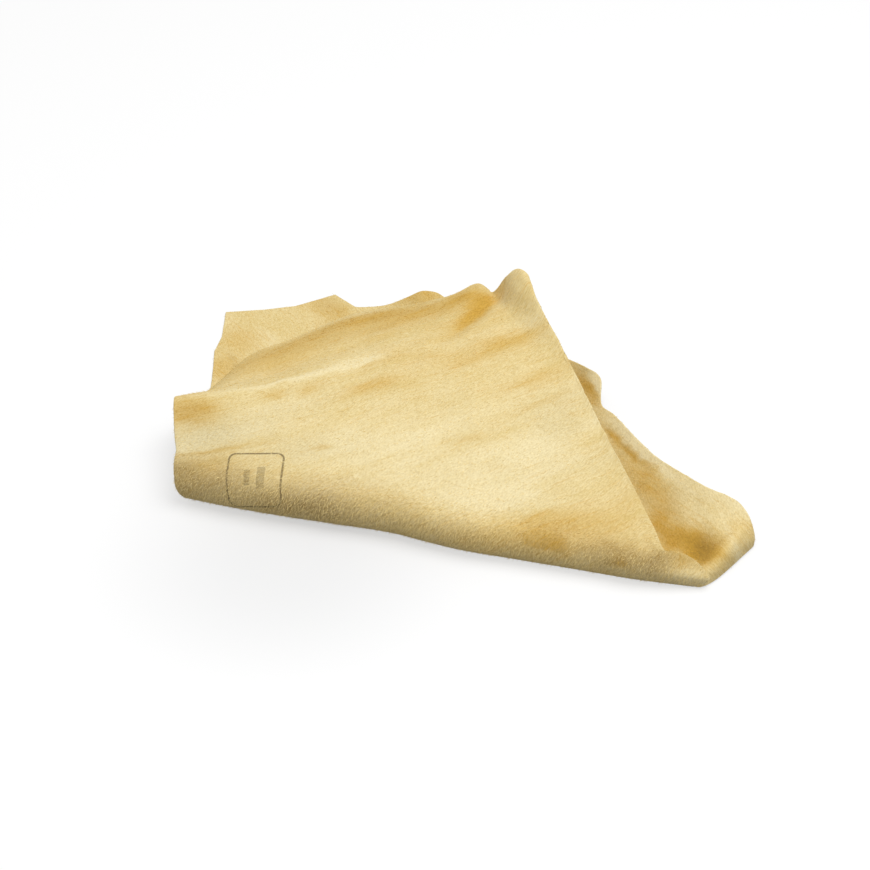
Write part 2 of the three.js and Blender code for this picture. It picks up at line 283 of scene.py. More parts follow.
BROWN_PATCHES = [
    # Flap
    (-8, 50, 14, 7, 22, 0.35),
    (-6, 41, 10, 5, 12, 0.2),
    (78, 17, 26, 5, 5, 0.3),
    # Roll of the front fold
    # These darken the roll's front: partly its own darker, stained hide, partly painted shade on the
    # side turned from the lamp
    (10, 5, 28, 11, 14, 1.0),
    (27, 10, 10, 7, 10, 0.3),
    (68, 2, 30, 9, 4, 1.35),
    (115, 11, 16, 5, 0, 0.3),
    (130, 1, 170, 7, 1, 0.14),
    (195, 5, 6, 3, 10, 0.15),
    (200, 10, 22, 5, 0, 0.25),
    (217, 3, 14, 6, 0, 0.32),
    (224, 9, 16, 5, -4, 0.75),
    (226, 3, 5, 2.5, 0, 0.35),
    (238, 3, 16, 6, 0, 0.4),
    (243, 6, 6, 5, 0, 0.75),
    # Curl and its pocket
    # Painted shadow in the gap under the flap's edge by the lobe
    (192, -124, 5, 2.5, 55, 0.45),
    # Along the crease of the curl: partly a darker line in the hide, partly painted shade in the crease
    (209.2, -106, 12, 1.2, 48, 0.12),
    # These four darken the pocket: partly stain, partly painted shade of its hollow
    (251, -41, 12, 6, 38, 0.35),
    (259, -41, 6, 4, 40, 0.3),
    (263, -35.5, 10, 5, 85, 1.05),
    (265, -24, 6, 5, 60, 0.25),
    # Lobe of the curl
    # Painted shade on the lobe's inner side, in the flap's shade
    (173, -159, 12, 2.8, 56, 0.3),
    # Rear corner and the base behind the flap
    # Painted shadow along the flap's rear edge, where it lies on the base
    (-20, -140, 10, 2, 45, 0.35),
]
GREY_PATCHES = [
    # Flap
    (6, 31, 26, 14, 30, 1.1),
    (40, 62, 30, 10, 34, 0.25),
    (58, 36, 24, 12, 20, 0.45),
    (131, 163, 10, 7, 0, 0.15),
    (174, 93, 20, 13, 42, 0.5),
    (180, 76, 14, 9, 40, 0.45),
    (200, 62, 20, 11, 40, 0.3),
    # Roll of the front fold
    (133, -4, 9, 4, 0, 0.35),
    (238, 4, 28, 5, 2, 0.5),
    # Lobe of the curl
    # Painted shade on the lobe, in the flap's shade
    (169, -169, 8, 6, 50, 0.5),
    # Rear corner and the base behind the flap
    (8, -214, 16, 9, 40, 0.4),
]
# Where the nap is long, its fibres are larger and denser and the painted shade between strands deeper
ROUGH_PATCHES = [(125, 4, 190, 15, 1, 1.0)]  # where the nap is long
TONES = {
    "cream": CREAM_PATCHES,
    "ochre": OCHRE_PATCHES,
    "brown": BROWN_PATCHES,
    "grey": GREY_PATCHES,
    "rough": ROUGH_PATCHES,
}
# How far the edges of the patches wander, and how quickly
WARP_REACH = 0.0009
WARP_WAVELENGTH = 0.021
FINE_WARP_WAVELENGTH = 0.008
FINE_WARP_SHARE = 0.5
WARP_SEEDS = (11, 17)
# Creases and swells pressed into the hide: as the patches, but the last is a height in millimetres.
SWELLS = [
    (20, 79.5, 50, 4.2, 33, 1.1),
    (10, 98, 54, 11, 36, -2.4),
    (14, 24, 25, 4.2, 31, 1.0),
    (18, 13, 26, 4.5, 24, -0.8),
    (111, 168, 26, 5.5, 70, -2.0),
    (98, 178, 20, 6, 74, 0.9),
    (128, 172, 14, 7, 80, 0.8),
    (199, 14, 16, 2.6, 50, -0.6),
    (141, 90, 46, 5, 41, 0.35),
    (120, 122, 30, 4, 40, -0.3),
    (150, 110, 36, 4, 42, -0.3),
    (208, -105, 26, 3, 49.7, -0.35),
]
# Undulations: each is a sum of waves that run in all directions
RIPPLE_HEIGHTS = ((0.034, 0.0003), (0.012, 0.00012))  # wavelength and height
RIPPLE_WAVES = 9
RIPPLE_STRETCHES = (0.7, 1.5)
RIPPLE_PHASES = (0, 7)
RAGGED_EDGE = 0.00008
RAGGED_WAVELENGTH = 0.008
RAGGED_REACH = 0.004
RAGGED_SEED = 5
SETTLING_HEIGHT = 0.004  # relief fades out this far above what the leather rests on
CUT_SIDES = ("left", "right", "rear")


# Curves and surfaces


def smooth_step(value):
    """Rises smoothly from 0 to 1 as value goes from 0 to 1."""
    value = np.clip(value, 0, 1)
    return value * value * (3 - 2 * value)


def smooth_curve(points, share):
    """Points at shares of an even curve through points, which run along the first axis."""
    points = np.asarray(points, float)
    share = np.asarray(share, float)
    spans = len(points) - 1
    padded = np.concatenate([2 * points[:1] - points[1:2], points, 2 * points[-1:] - points[-2:-1]])
    pace = np.sqrt(np.linalg.norm(np.diff(padded, axis=0), axis=-1, keepdims=True))
    place = np.clip(share * spans, 0, spans - TINY)
    first = place.astype(int)
    t = (place - first).reshape(share.shape + (1,) * (points.ndim - 1))
    p0, p1, p2, p3 = (padded[first + k] for k in range(4))
    before, here, after = (pace[first + k] for k in range(3))
    leaving = here * ((p1 - p0) / before - (p2 - p0) / (before + here)) + p2 - p1
    arriving = here * ((p3 - p2) / after - (p3 - p1) / (here + after)) + p2 - p1
    square = 3 * (p2 - p1) - 2 * leaving - arriving
    cubic = 2 * (p1 - p2) + leaving + arriving
    return p1 + leaving * t + square * t**2 + cubic * t**3


def lerp(a, b, share):
    return a + (b - a) * share


def fold_radius(x):
    """The radius of the roll's middle surface, which gets smaller to the right."""
    share = np.clip(x / FOLD_LENGTH, 0, 1)
    return (lerp(FOLD_HEIGHT_LEFT, FOLD_HEIGHT_RIGHT, share) - LEATHER_THICKNESS) / 2


def fold_front(x):
    """How far back the nose of the fold lies."""
    share = np.clip(x / FOLD_LENGTH, 0, 1)
    places = np.linspace(0, 1, len(FOLD_LINE)) * FOLD_LENGTH
    line = np.stack([places, np.multiply(FOLD_LINE, FOLD_SWAY)], axis=1)
    return HALF_THICKNESS + smooth_curve(line, share)[..., 1]


def roll_point(fold_x, x, angle):
    """A point on the roll: angle 0 is its nose, a quarter turn up the flap, down the base."""
    radius = fold_radius(fold_x)
    y = fold_front(fold_x) + radius * (1 - math.cos(angle))
    return (x, y, HALF_THICKNESS + radius * (1 + math.sin(angle)))


def underside(fold_x):
    """Where the underside of the fold lies in plan: it is a little shorter than the nose."""
    inset = lerp(UNDER_INSET_LEFT, -UNDER_INSET_RIGHT, fold_x / FOLD_LENGTH)
    return np.stack([fold_x + inset, fold_front(fold_x) + fold_radius(fold_x)], axis=-1)


def flap_line(station):
    """The points that one line of the flap runs through, from under the roll to its rear edge."""
    fold, lean, tuck, *behind = station
    fold_x = fold * FOLD_LENGTH
    points = []
    for step in range(ROLL_SPANS + 1):
        turn = 2 * step / ROLL_SPANS - 1
        far_x = fold_x + lean * FOLD_LENGTH if turn > 0 else underside(fold_x)[0]
        angle = turn * math.pi / 2
        x, y, z = roll_point(fold_x, lerp(fold_x, far_x, abs(turn)), angle)
        drawn_out = tuck * FLAP_DEPTH * math.cos(angle) ** 2
        tucked_back = tuck * FLAP_DEPTH * max(0.0, math.sin(2 * angle))
        tip = np.multiply(TIP_TURN, drawn_out)
        points.append(tip + (x, y + tucked_back, z))
    sizes = np.array([FOLD_LENGTH, FLAP_DEPTH, PEAK_HEIGHT])
    rest = [(0, 0, RESTING_HEIGHT) + np.array(point) * sizes for point in behind]
    shoulder = lerp(np.array(points[-1]), rest[0], SHOULDER_PLACE)
    return np.array([*points, shoulder, *rest])


def span_shares(lengths, step, cut_start, cut_end):
    """Shares along a run of spans, about step apart, with close ones beside each cut end."""
    spans = len(lengths)
    shares = [0.0]
    for span, length in enumerate(lengths):
        count = max(FEWEST_STEPS, round(length / step))
        shares += [(span + (k + 1) / count) / spans for k in range(count)]
    close = [k * HALF_THICKNESS for k in EDGE_STEPS]
    if cut_start:
        shares += [k / lengths[0] / spans for k in close]
    if cut_end:
        shares += [1 - k / lengths[-1] / spans for k in close]
    return np.array(sorted(shares))


def flap_grid():
    """The middle surface of the flap and the whole roll, and its place in the flat hide."""
    lines = np.array([flap_line(station) for station in FLAP_STATIONS]).swapaxes(0, 1)
    steps = np.linalg.norm(np.diff(lines, axis=0), axis=2).mean(1)
    rows = span_shares(steps, FLAP_STEP, False, True)
    widths = np.diff([station[0] for station in FLAP_STATIONS]) * FOLD_LENGTH
    columns = span_shares(widths, FLAP_STEP, True, True)
    across = smooth_curve(lines, rows)
    middle = smooth_curve(across.swapaxes(0, 1), columns).swapaxes(0, 1)
    behind_roll = rows[:, None] > ROLL_SPANS / len(steps)
    height = middle[:, :, 2]
    middle[:, :, 2] = np.where(behind_roll, np.maximum(height, RESTING_HEIGHT), height)
    run = np.linalg.norm(np.diff(middle[:, :, 1:], axis=0), axis=2)
    run = np.concatenate([np.zeros((1, len(columns))), np.cumsum(run, axis=0)])
    half_roll = ROLL_SPANS / 2 / len(steps)
    nose = run[np.argmin(np.abs(rows - half_roll))]
    flat = np.stack([middle[:, :, 0], run - nose], axis=2)
    return middle, flat


def base_rear(share):
    """The rear edge of the base at shares of its stations: a straight crease, then a cut edge."""
    ends = np.array([rear for fold, rear in BASE_STATIONS]) * (FOLD_LENGTH, BASE_DEPTH)
    spans = len(ends) - 1
    place = np.clip(share * spans, 0, spans - TINY)
    first = place.astype(int)
    straight = lerp(ends[first], ends[first + 1], (place - first)[:, None])
    cut_share = (place - LAST_CREASE_STATION) / (spans - LAST_CREASE_STATION)
    curved = smooth_curve(ends[LAST_CREASE_STATION:], np.clip(cut_share, 0, 1))
    return np.where((place < LAST_CREASE_STATION)[:, None], straight, curved)


def wave_rise(x, y):
    """How high the base rises in the wave at its rear edge."""
    along = np.exp(-(((x / FOLD_LENGTH - WAVE_PLACE) / WAVE_WIDTH) ** 2))
    return WAVE_HEIGHT * along * smooth_step((y / BASE_DEPTH - WAVE_START) / (1 - WAVE_START))


def crease(start, end):
    """A crease in plan: its start, length, direction and outward side, which is to its right."""
    along = np.subtract(end, start)
    length = np.linalg.norm(along)
    along = along / length
    return np.array(start), length, along, np.array([along[1], -along[0]])


def curl_crease():
    """The foot of the curl, from the front fold to the rear edge."""
    return crease(underside(FOLD_LENGTH), base_rear(np.array([1.0]))[0])


def corner_crease():
    """The line that the rear corner lifts about, from right to left."""
    left, right = base_rear(np.array([0.0, LAST_CREASE_STATION / (len(BASE_STATIONS) - 1)]))
    return crease(right, left)


def front_lip(behind, shares):
    """The rounded front end of the curl: how high it stands at distances behind its edge."""
    rounding = np.sqrt(1 - np.clip(1 - behind / LIP_ROUNDING, 0, 1) ** 2)
    fall = 1 - smooth_step((behind - LIP_ROUNDING) / LIP_FALL)
    sides = smooth_step(shares / LIP_START) * (1 - smooth_step((shares - LIP_END) / (1 - LIP_END)))
    return LIP_HEIGHT * rounding * fall * sides


def lengthening(grid):
    """How much longer each column of a grid is than its plan, from its last row to each row."""
    steps = np.diff(grid, axis=0)
    extra = np.linalg.norm(steps, axis=2) - np.linalg.norm(steps[:, :, :2], axis=2)
    extra = np.concatenate([extra, np.zeros((1, grid.shape[1]))])
    return np.cumsum(extra[::-1], axis=0)[::-1]


def base_grid():
    """The middle surface of the flat base and its curled right edge, its flat place, and how many
    of its first columns end at the rear corner's crease."""
    folds = np.array([fold for fold, rear in BASE_STATIONS]) * FOLD_LENGTH
    columns = span_shares(np.diff(folds), BASE_STEP, True, False)
    start, length, along, outward = curl_crease()
    rim_points = np.array(RIM_POINTS) * (length, RIM_REACH, RIM_HEIGHT)
    rim_steps = np.linalg.norm(np.diff(rim_points, axis=0), axis=1)
    rim = smooth_curve(rim_points, span_shares(rim_steps, BASE_STEP, False, True))
    rows = (rim[:, 0] - rim[0, 0]) / (rim[-1, 0] - rim[0, 0])
    fold_x = np.interp(columns * (len(folds) - 1), np.arange(len(folds)), folds)
    front = underside(fold_x)
    plan = lerp(front[None], base_rear(columns)[None], rows[:, None, None])
    height = HALF_THICKNESS + wave_rise(plan[:, :, 0], plan[:, :, 1])
    base = np.concatenate([plan, height[:, :, None]], axis=2)
    nose_run = (fold_radius(fold_x) * math.pi / 2)[None]
    base_flat = np.stack([plan[:, :, 0], front[:, 1] - plan[:, :, 1] - nose_run], axis=2)

    shares = span_shares([RIM_REACH], CURL_STEP, False, True)[1:]
    place = rows[:, None]
    bulge = FRONT_BULGE * np.sin(np.pi * shares**FRONT_BULGE_LEAN)
    bulge = bulge * smooth_step(1 - place / FRONT_STRETCH)
    forward = lerp(place * length, rim[:, :1], shares) - bulge
    out = rim[:, 1:2] * shares
    rise = rim[:, 2:] * shares**CURL_STEEPENING + front_lip(forward - forward[:1], shares)
    curl_plan = start + forward[:, :, None] * along + out[:, :, None] * outward
    curl = np.concatenate([curl_plan, HALF_THICKNESS + rise[:, :, None]], axis=2)
    stretch = np.hypot(out, rise) / np.maximum(out, SHORTEST_REACH)
    flat_plan = start + forward[:, :, None] * along + (out * stretch)[:, :, None] * outward
    edge_flat = base_flat[:, -1:]
    curl_flat = edge_flat + (flat_plan - base[:, -1:, :2]) * (1, -1)
    curl_flat[:, :, 1] += lengthening(curl)
    joined = np.count_nonzero(columns <= LAST_CREASE_STATION / (len(folds) - 1))
    middle = np.concatenate([base, curl], axis=1)
    flat = np.concatenate([base_flat, curl_flat], axis=1)
    return middle, flat, joined


def corner_grid():
    """The middle surface of the flat rear corner beyond its crease, and its flat place."""
    start, length, along, outward = corner_crease()
    end = start + along * length
    outline = np.array([start, *(np.array(CORNER_OUTLINE[::-1]) * (FOLD_LENGTH, BASE_DEPTH)), end])
    sides = np.linalg.norm(np.diff(outline, axis=0), axis=1)
    columns = span_shares(sides, FLAP_STEP, False, False)
    places = columns * len(sides)
    corners = np.arange(len(outline))
    rim = np.stack([np.interp(places, corners, outline[:, k]) for k in (0, 1)], axis=1)
    line = start + along * (columns * length)[:, None]
    widest = ((rim - line) @ outward).max()
    rows = span_shares([widest], FLAP_STEP, False, True)
    plan = lerp(line[None], rim[None], rows[:, None, None])
    height = np.full(plan.shape[:2] + (1,), HALF_THICKNESS)
    flat = plan * (1, -1)
    return np.concatenate([plan, height], axis=2)[:, ::-1], flat[:, ::-1]


# Sheets of leather


def ripples(flat, wavelength, seed):
    """A smooth irregular swell over the flat hide, about -1 to 1."""
    random = np.random.default_rng(seed)
    turns = random.uniform(0, 2 * math.pi, RIPPLE_WAVES)
    stretches = random.uniform(*RIPPLE_STRETCHES, RIPPLE_WAVES)
    phases = random.uniform(*RIPPLE_PHASES, RIPPLE_WAVES)
    swell = np.zeros(flat.shape[:2])
    for turn, stretch, phase in zip(turns, stretches, phases):
        along = flat[:, :, 0] * math.cos(turn) + flat[:, :, 1] * math.sin(turn)
        swell += np.sin(2 * math.pi * along / (wavelength * stretch) + phase)
    return swell / math.sqrt(RIPPLE_WAVES)


def patches(flat, table):
    """The sum of a table's soft patches at each point of the flat hide."""
    total = np.zeros(flat.shape[:2])
    for u, v, half_length, half_width, turn, strength in table:
        across_u = flat[:, :, 0] - u * MM
        across_v = flat[:, :, 1] - v * MM
        cosine = math.cos(math.radians(turn))
        sine = math.sin(math.radians(turn))
        along = (across_u * cosine + across_v * sine) / (half_length * MM)
        across = (across_v * cosine - across_u * sine) / (half_width * MM)
        total += strength * np.exp(-(along**2) - across**2)
    return total


def surface_frame(middle):
    """Unit vectors from column to column, from row to row and out of the surface."""
    along = np.gradient(middle, axis=1)
    across = np.gradient(middle, axis=0)
    vectors = (along, across, np.cross(along, across))
    lengths = [np.linalg.norm(vector, axis=2, keepdims=True) for vector in vectors]
    return [vector / np.maximum(length, SHORTEST_VECTOR) for vector, length in zip(vectors, lengths)]


def side_distances(middle):
    """How far each point is from the left, right and rear of its grid, over the surface."""
    along = np.linalg.norm(np.diff(middle, axis=1), axis=2)
    across = np.linalg.norm(np.diff(middle, axis=0), axis=2)
    rows, columns = middle.shape[:2]
    from_left = np.concatenate([np.zeros((rows, 1)), np.cumsum(along, axis=1)], axis=1)
    from_front = np.concatenate([np.zeros((1, columns)), np.cumsum(across, axis=0)])
    return {
        "left": from_left,
        "right": from_left[:, -1:] - from_left,
        "rear": from_front[-1:] - from_front,
    }


def pressed(middle, flat, distances, lowest):
    """The middle surface with its swells, undulations and uneven cut edges."""
    along, across, normal = surface_frame(middle)
    relief = MM * patches(flat, SWELLS)
    for seed, (wavelength, height) in enumerate(RIPPLE_HEIGHTS):
        relief += height * ripples(flat, wavelength, seed)
    relief *= smooth_step((middle[:, :, 2] - lowest) / SETTLING_HEIGHT)
    middle = middle + normal * relief[:, :, None]
    wander = RAGGED_EDGE * ripples(flat, RAGGED_WAVELENGTH, RAGGED_SEED)
    for side, outward in (("left", -along), ("right", along), ("rear", across)):
        if side in distances:
            near = np.exp(-distances[side] / RAGGED_REACH)
            middle = middle + outward * (wander * near)[:, :, None]
    return middle


def sheet_faces(top, under):
    """Faces over both sides of a grid of vertices, and walls round its border where they part."""
    starts = slice(None, -1)
    ends = slice(1, None)
    around = ((starts, starts), (starts, ends), (ends, ends), (ends, starts))
    faces = np.stack([top[place].ravel() for place in around], axis=1).tolist()
    faces += np.stack([under[place].ravel() for place in reversed(around)], axis=1).tolist()
    borders = (
        (top[0], under[0]),
        (top[:, -1], under[:, -1]),
        (top[-1, ::-1], under[-1, ::-1]),
        (top[::-1, 0], under[::-1, 0]),
    )
    for edge, lower in borders:
        wall = np.stack([edge[1:], edge[:-1], lower[:-1], lower[1:]], axis=1)
        faces += [sorted(set(face), key=face.index) for face in wall.tolist() if len(set(face)) > 2]
    return faces


def hide_tones(flat):
    """How strong each kind of patch is at each point of the flat hide."""
    shifts = []
    for seed in WARP_SEEDS:
        fine = ripples(flat, FINE_WARP_WAVELENGTH, seed + 1)
        shifts.append(ripples(flat, WARP_WAVELENGTH, seed) + FINE_WARP_SHARE * fine)
    warped = flat + WARP_REACH * np.stack(shifts, axis=2)
    return {label: patches(warped, table) for label, table in TONES.items()}


def keep_values(mesh, label, values):
    """Keeps one value for each vertex of a mesh, which materials and node trees read by its label."""
    attribute = mesh.attributes.new(label, "FLOAT", "POINT")
    attribute.data.foreach_set("value", values.astype(np.float32))


def smooth_mesh(mesh):
    """Merges vertices that coincide and shades the mesh smooth between its sharp edges."""
    body = bmesh.new()
    body.from_mesh(mesh)
    bmesh.ops.remove_doubles(body, verts=body.verts, dist=MERGE_DISTANCE)
    body.to_mesh(mesh)
    body.free()
    mesh.polygons.foreach_set("use_smooth", np.ones(len(mesh.polygons), bool))
    mesh.set_sharp_from_angle(angle=SHARP_ANGLE)


def add_object(name, data):
    """An object at the origin, in the scene."""
    made = bpy.data.objects.new(name, data)
    bpy.context.scene.collection.objects.link(made)
    return made


def leather_sheet(name, middle, flat, cut_sides, joined_columns, lowest, material):
    """A closed sheet of leather round its middle surface, with rounded cut edges.

    Its rear edge is not cut along the first joined_columns, where another sheet goes on.
    """
    rows, columns = middle.shape[:2]
    distances = {side: far for side, far in side_distances(middle).items() if side in cut_sides}
    if joined_columns:
        distances["rear"][:, :joined_columns] = FOLD_LENGTH
    middle = pressed(middle, flat, distances, lowest)
    distance = np.min(list(distances.values()), axis=0)
    shoulder = np.clip(1 - distance / HALF_THICKNESS, 0, 1)
    half = HALF_THICKNESS * np.sqrt(1 - shoulder**2)
    offset = surface_frame(middle)[2] * half[:, :, None]
    top = np.arange(rows * columns).reshape(rows, columns)
    under = np.where(distance < TINY, top, top + rows * columns)
    both_sides = [(middle + offset).reshape(-1, 3), (middle - offset).reshape(-1, 3)]
    points = np.concatenate(both_sides) - ORIGIN
    faces = sheet_faces(top, under)
    used = np.unique([k for face in faces for k in face])
    renumber = np.full(len(points), -1)
    renumber[used] = np.arange(len(used))
    mesh = bpy.data.meshes.new(name)
    mesh.from_pydata(points[used].tolist(), [], [[int(renumber[k]) for k in face] for face in faces])
    mesh.update()
    vertex_of_loop = np.empty(len(mesh.loops), int)
    mesh.loops.foreach_get("vertex_index", vertex_of_loop)
    both_flat = np.concatenate([flat.reshape(-1, 2)] * 2)[used]
    uv = mesh.uv_layers.new(name="hide")
    uv.data.foreach_set("uv", both_flat[vertex_of_loop].ravel().astype(np.float32))
    for label, tone in hide_tones(flat).items():
        keep_values(mesh, label, np.concatenate([tone.ravel()] * 2)[used])
    outside = np.concatenate([np.ones(rows * columns), np.zeros(rows * columns)])
    keep_values(mesh, "outside", outside[used])
    smooth_mesh(mesh)
    mesh.materials.append(material)
    return add_object(name, mesh)


# Materials


class Shade:
    """A value in a material. Arithmetic on it adds Math nodes to that material."""

    def __init__(self, material, socket):
        self.material = material
        self.socket = socket

    def math(self, operation, first, second):
        node = self.material.node("ShaderNodeMath", {"operation": operation}, {0: first, 1: second})
        return Shade(self.material, node.outputs[0])

    def __add__(self, other):
        return self.math("ADD", self, other)

    def __radd__(self, other):
        return self.math("ADD", other, self)

    def __sub__(self, other):
        return self.math("SUBTRACT", self, other)

    def __rsub__(self, other):
        return self.math("SUBTRACT", other, self)

    def __mul__(self, other):
        return self.math("MULTIPLY", self, other)

    def __rmul__(self, other):
        return self.math("MULTIPLY", other, self)

    def larger(self, other):
        return self.math("MAXIMUM", self, other)

    def size(self):
        return self.math("ABSOLUTE", self, 0)

    def root(self):
        return self.math("POWER", self, 0.5)

    def step(self, low, high):
        """Rises smoothly from 0 at low to 1 at high."""
        settings = {"interpolation_type": "SMOOTHSTEP"}
        node = self.material.node("ShaderNodeMapRange", settings, {0: self, 1: low, 2: high})
        return Shade(self.material, node.outputs[0])


class Finish:
    """A node material: one method makes any node, the others make the ones that are used often."""

    def __init__(self, name):
        self.data = bpy.data.materials.new(name)
        self.data.use_nodes = True
        self.tree = self.data.node_tree
        self.shader = self.tree.nodes["Principled BSDF"]

    def node(self, kind, settings, inputs):
        node = self.tree.nodes.new(kind)
        for name, value in settings.items():
            setattr(node, name, value)
        for name, value in inputs.items():
            self.feed(node.inputs[name], value)
        return node

    def feed(self, socket, value):
        if isinstance(value, Shade):
            self.tree.links.new(value.socket, socket)
        else:
            socket.default_value = value

    def attribute(self, name):
        node = self.node("ShaderNodeAttribute", {"attribute_name": name}, {})
        return Shade(self, node.outputs["Fac"])

    def surface(self, values):
        """Sets sockets of the shader."""
        for name, value in values.items():
            self.feed(self.shader.inputs[name], value)

    def flat_hide(self):
        return Shade(self, self.node("ShaderNodeUVMap", {"uv_map": "hide"}, {}).outputs["UV"])

    def laid_out(self, place, centre, turn, length, width):
        """Coordinates turned about a centre, where 1 is a length along and a width across."""
        inputs = {
            "Vector": place,
            "Location": (*centre, 0),
            "Rotation": (0, 0, turn),
            "Scale": (length, width, 1),
        }
        node = self.node("ShaderNodeMapping", {"vector_type": "TEXTURE"}, inputs)
        return Shade(self, node.outputs[0])

    def noise(self, place, centre, turn, marks, detail, roughness):
        """Noise whose marks have a length and a width, turned, on coordinates from a centre."""
        place = self.laid_out(place, centre, turn, *marks)
        inputs = {"Vector": place, "Scale": 1, "Detail": detail, "Roughness": roughness}
        return Shade(self, self.node("ShaderNodeTexNoise", {}, inputs).outputs[0])

    def mix(self, first, second, share):
        settings = {"data_type": "RGBA", "clamp_factor": True}
        node = self.node("ShaderNodeMix", settings, {0: share, 6: first, 7: second})
        return Shade(self, node.outputs[2])

    def axes(self, place):
        node = self.node("ShaderNodeSeparateXYZ", {}, {0: place})
        return Shade(self, node.outputs[0]), Shade(self, node.outputs[1])


STRAW = (0.790, 0.610, 0.250, 1)
CREAM = (0.955, 0.825, 0.490, 1)
OCHRE = (0.690, 0.405, 0.055, 1)
BROWN = (0.300, 0.170, 0.030, 1)
GREY = (0.560, 0.490, 0.290, 1)
INK = (0.130, 0.085, 0.035, 1)
FIBRE = (0.890, 0.720, 0.330, 1)
OCHRE_FIBRE = (0.700, 0.470, 0.120, 1)
STREAK_TURN = math.radians(40)
NAP_TURN = math.radians(62)
# Marks in the suede: the centre of their noise, turn, length and width, detail and roughness
BROAD_STREAKS = ((0.3, 0.1), STREAK_TURN, (0.055, 0.022), 2, 0.5)
STREAKS = ((0, 0), STREAK_TURN, (0.034, 0.0048), 3, 0.55)
VEINS = ((0.1, 0.2), STREAK_TURN, (0.016, 0.0016), 2, 0.5)
TUFTS = ((0, 0), NAP_TURN, (0.0014, 0.00045), 2, 0.6)
HAIRS = ((0.4, 0.3), NAP_TURN, (0.0028, 0.00075), 2, 0.6)
STIPPLES = ((0.2, 0), NAP_TURN, (0.0034, 0.0019), 2, 0.6)
PORES = ((0, 0), 0, (0.00085, 0.00085), 1, 0.5)
INK_GAPS = ((0, 0), 0, (0.0022, 0.0022), 2, 0.6)
MEAN_NOISE = 0.5
# The share of cream in the plain hide, and how far marks and patches swing it
PLAIN_LIGHT = 0.34
BROAD_SWING = 1.3
STREAK_SWING = 0.9
STIPPLE_SWING = 0.5
OCHRE_SWING = 0.6
# How strongly ochre shows in its patches, and in the streaks and veins above a limit
EVEN_OCHRE = 0.2
STREAKED_OCHRE = 0.95
STREAK_OCHRE = 1.6
STREAK_LIMIT = 0.56
VEIN_OCHRE = 1.9
VEIN_LIMIT = 0.53
CREAM_OVER_OCHRE = 0.5
# Grey and brown patches: how strong they are, and how much stipples add to that
EVEN_GREY = 0.25
STIPPLED_GREY = 0.5
EVEN_BROWN = 0.3
STIPPLED_BROWN = 0.6
# The nap: between which values its tufts, pores and strands begin, how dark the painted shade
# between them is, how pale the painted glints on them are, and how high
TUFT_START = (0.36, 0.64)
PORE_START = (0.35, 0.65)
STRAND_START = (0.38, 0.62)
TUFT_SHADE = 0.14
PORE_SHADE = 0.11
STRAND_SHADE = 0.1
LONG_NAP_SHADE = 0.12
MOTTLED_SHADE = 0.3
MOTTLED_LIMIT = 0.6  # ochre patches stronger than this look mottled
TIP_LIGHT = 0.3
OCHRE_TIP_LOSS = 0.24
TUFT_HEIGHT = 0.6
PORE_HEIGHT = 0.4
BUMP_STRENGTH = 0.25
BUMP_HEIGHT = 0.0006
INK_STRENGTH = 0.75
SUEDE_SURFACE = {
    "Roughness": 0.95,
    "Specular IOR Level": 0.15,
    "Sheen Weight": 0.12,
    "Sheen Roughness": 0.6,
    "Sheen Tint": CREAM,
}


def ink_mark(finish, place):
    """A faded ink mark near the left end of the fold: a plain rounded frame with two bars."""
    centre = (0.0405, 0.0125)
    turn = math.radians(14)
    half_width = 0.0135
    half_height = 0.0158
    frame_corner = 0.004
    half_line = 0.00032
    soft = 0.00035
    bars = ((-0.0036, 0.0013, 0.0042), (0.0032, 0.0018, 0.0062))  # place, half width, half length
    bar_ink = 0.5
    worn_off = 0.26
    whole = 0.48
    wear = finish.noise(place, *INK_GAPS).step(worn_off, whole)
    x, y = finish.axes(finish.laid_out(place, centre, turn, 1, 1))
    side_x = (x.size() - (half_width - frame_corner)).larger(0)
    side_y = (y.size() - (half_height - frame_corner)).larger(0)
    reach = (side_x * side_x + side_y * side_y).root()
    ink = wear * (1 - (reach - frame_corner).size().step(half_line, half_line + soft))
    for across, bar_width, bar_length in bars:
        bar_x = 1 - (x - across).size().step(bar_width, bar_width + soft)
        bar_y = 1 - y.size().step(bar_length, bar_length + soft)
        ink = ink.larger(bar_x * bar_y * bar_ink)
    return ink * finish.attribute("outside")


